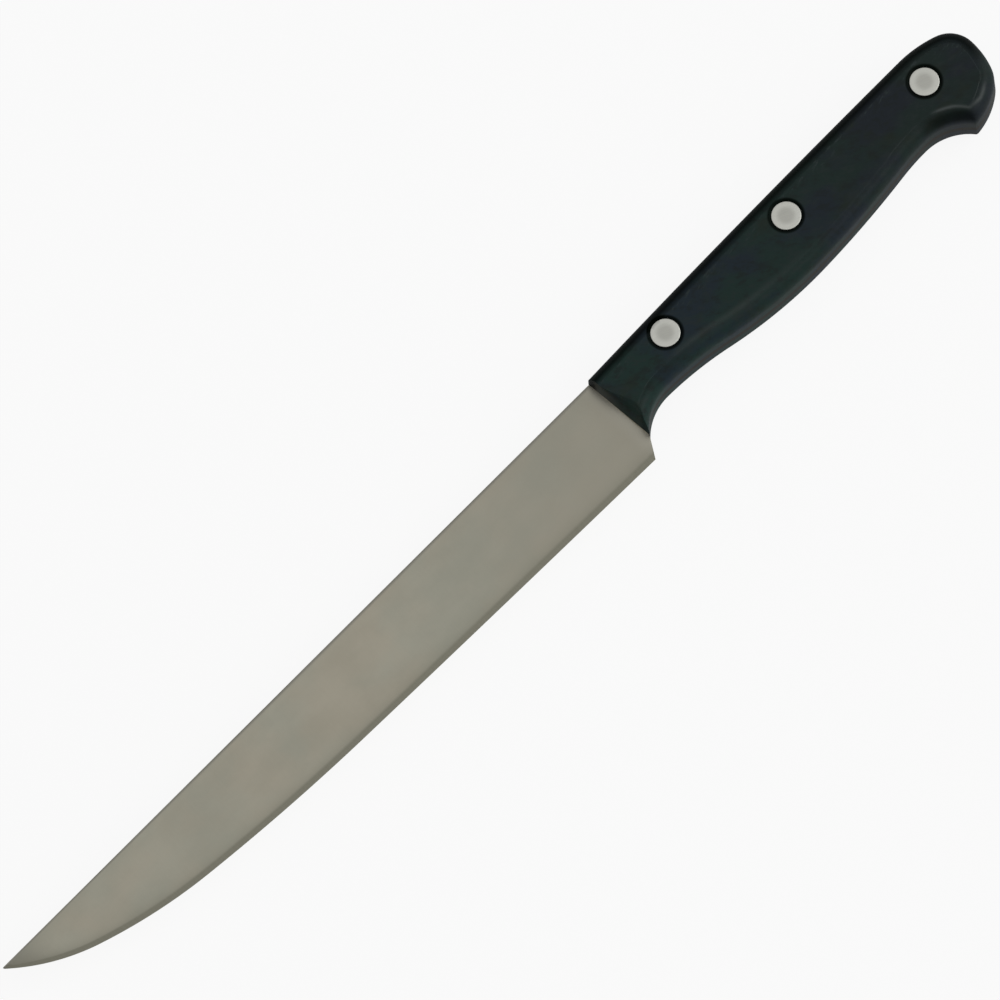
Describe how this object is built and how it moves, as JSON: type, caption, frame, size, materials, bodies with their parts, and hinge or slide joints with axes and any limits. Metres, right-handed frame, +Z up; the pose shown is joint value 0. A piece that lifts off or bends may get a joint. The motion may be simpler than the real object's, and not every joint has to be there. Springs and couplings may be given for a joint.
{
  "type": "carving knife",
  "caption": "Carving knife with a long pointed blade, a full tang and a black hooked handle of two scales held by round metal rivets.",
  "frame": {"origin": "under the middle of the knife's bounding box, on the plane that the lower handle scale rests on", "axes": "+X along the straight spine from the point to the butt, +Y across the blade from the cutting edge to the spine, +Z up from the face it rests on, through the thickness"},
  "size_m": [0.3244, 0.0264, 0.013],
  "materials": {
    "blade_steel": "satin, ground across the blade",
    "handle_plastic": "dense black moulded plastic, semi-gloss",
    "rivet_metal": "ground flush, fine satin"
  },
  "bodies": {
    "root": {"blade_with_tang": "blade_steel", "upper_scale": "handle_plastic", "lower_scale": "handle_plastic", "front_rivet_sleeve": "rivet_metal", "front_rivet_pin": "rivet_metal", "middle_rivet_sleeve": "rivet_metal", "middle_rivet_pin": "rivet_metal", "rear_rivet_sleeve": "rivet_metal", "rear_rivet_pin": "rivet_metal"}
  },
  "joints": []
}
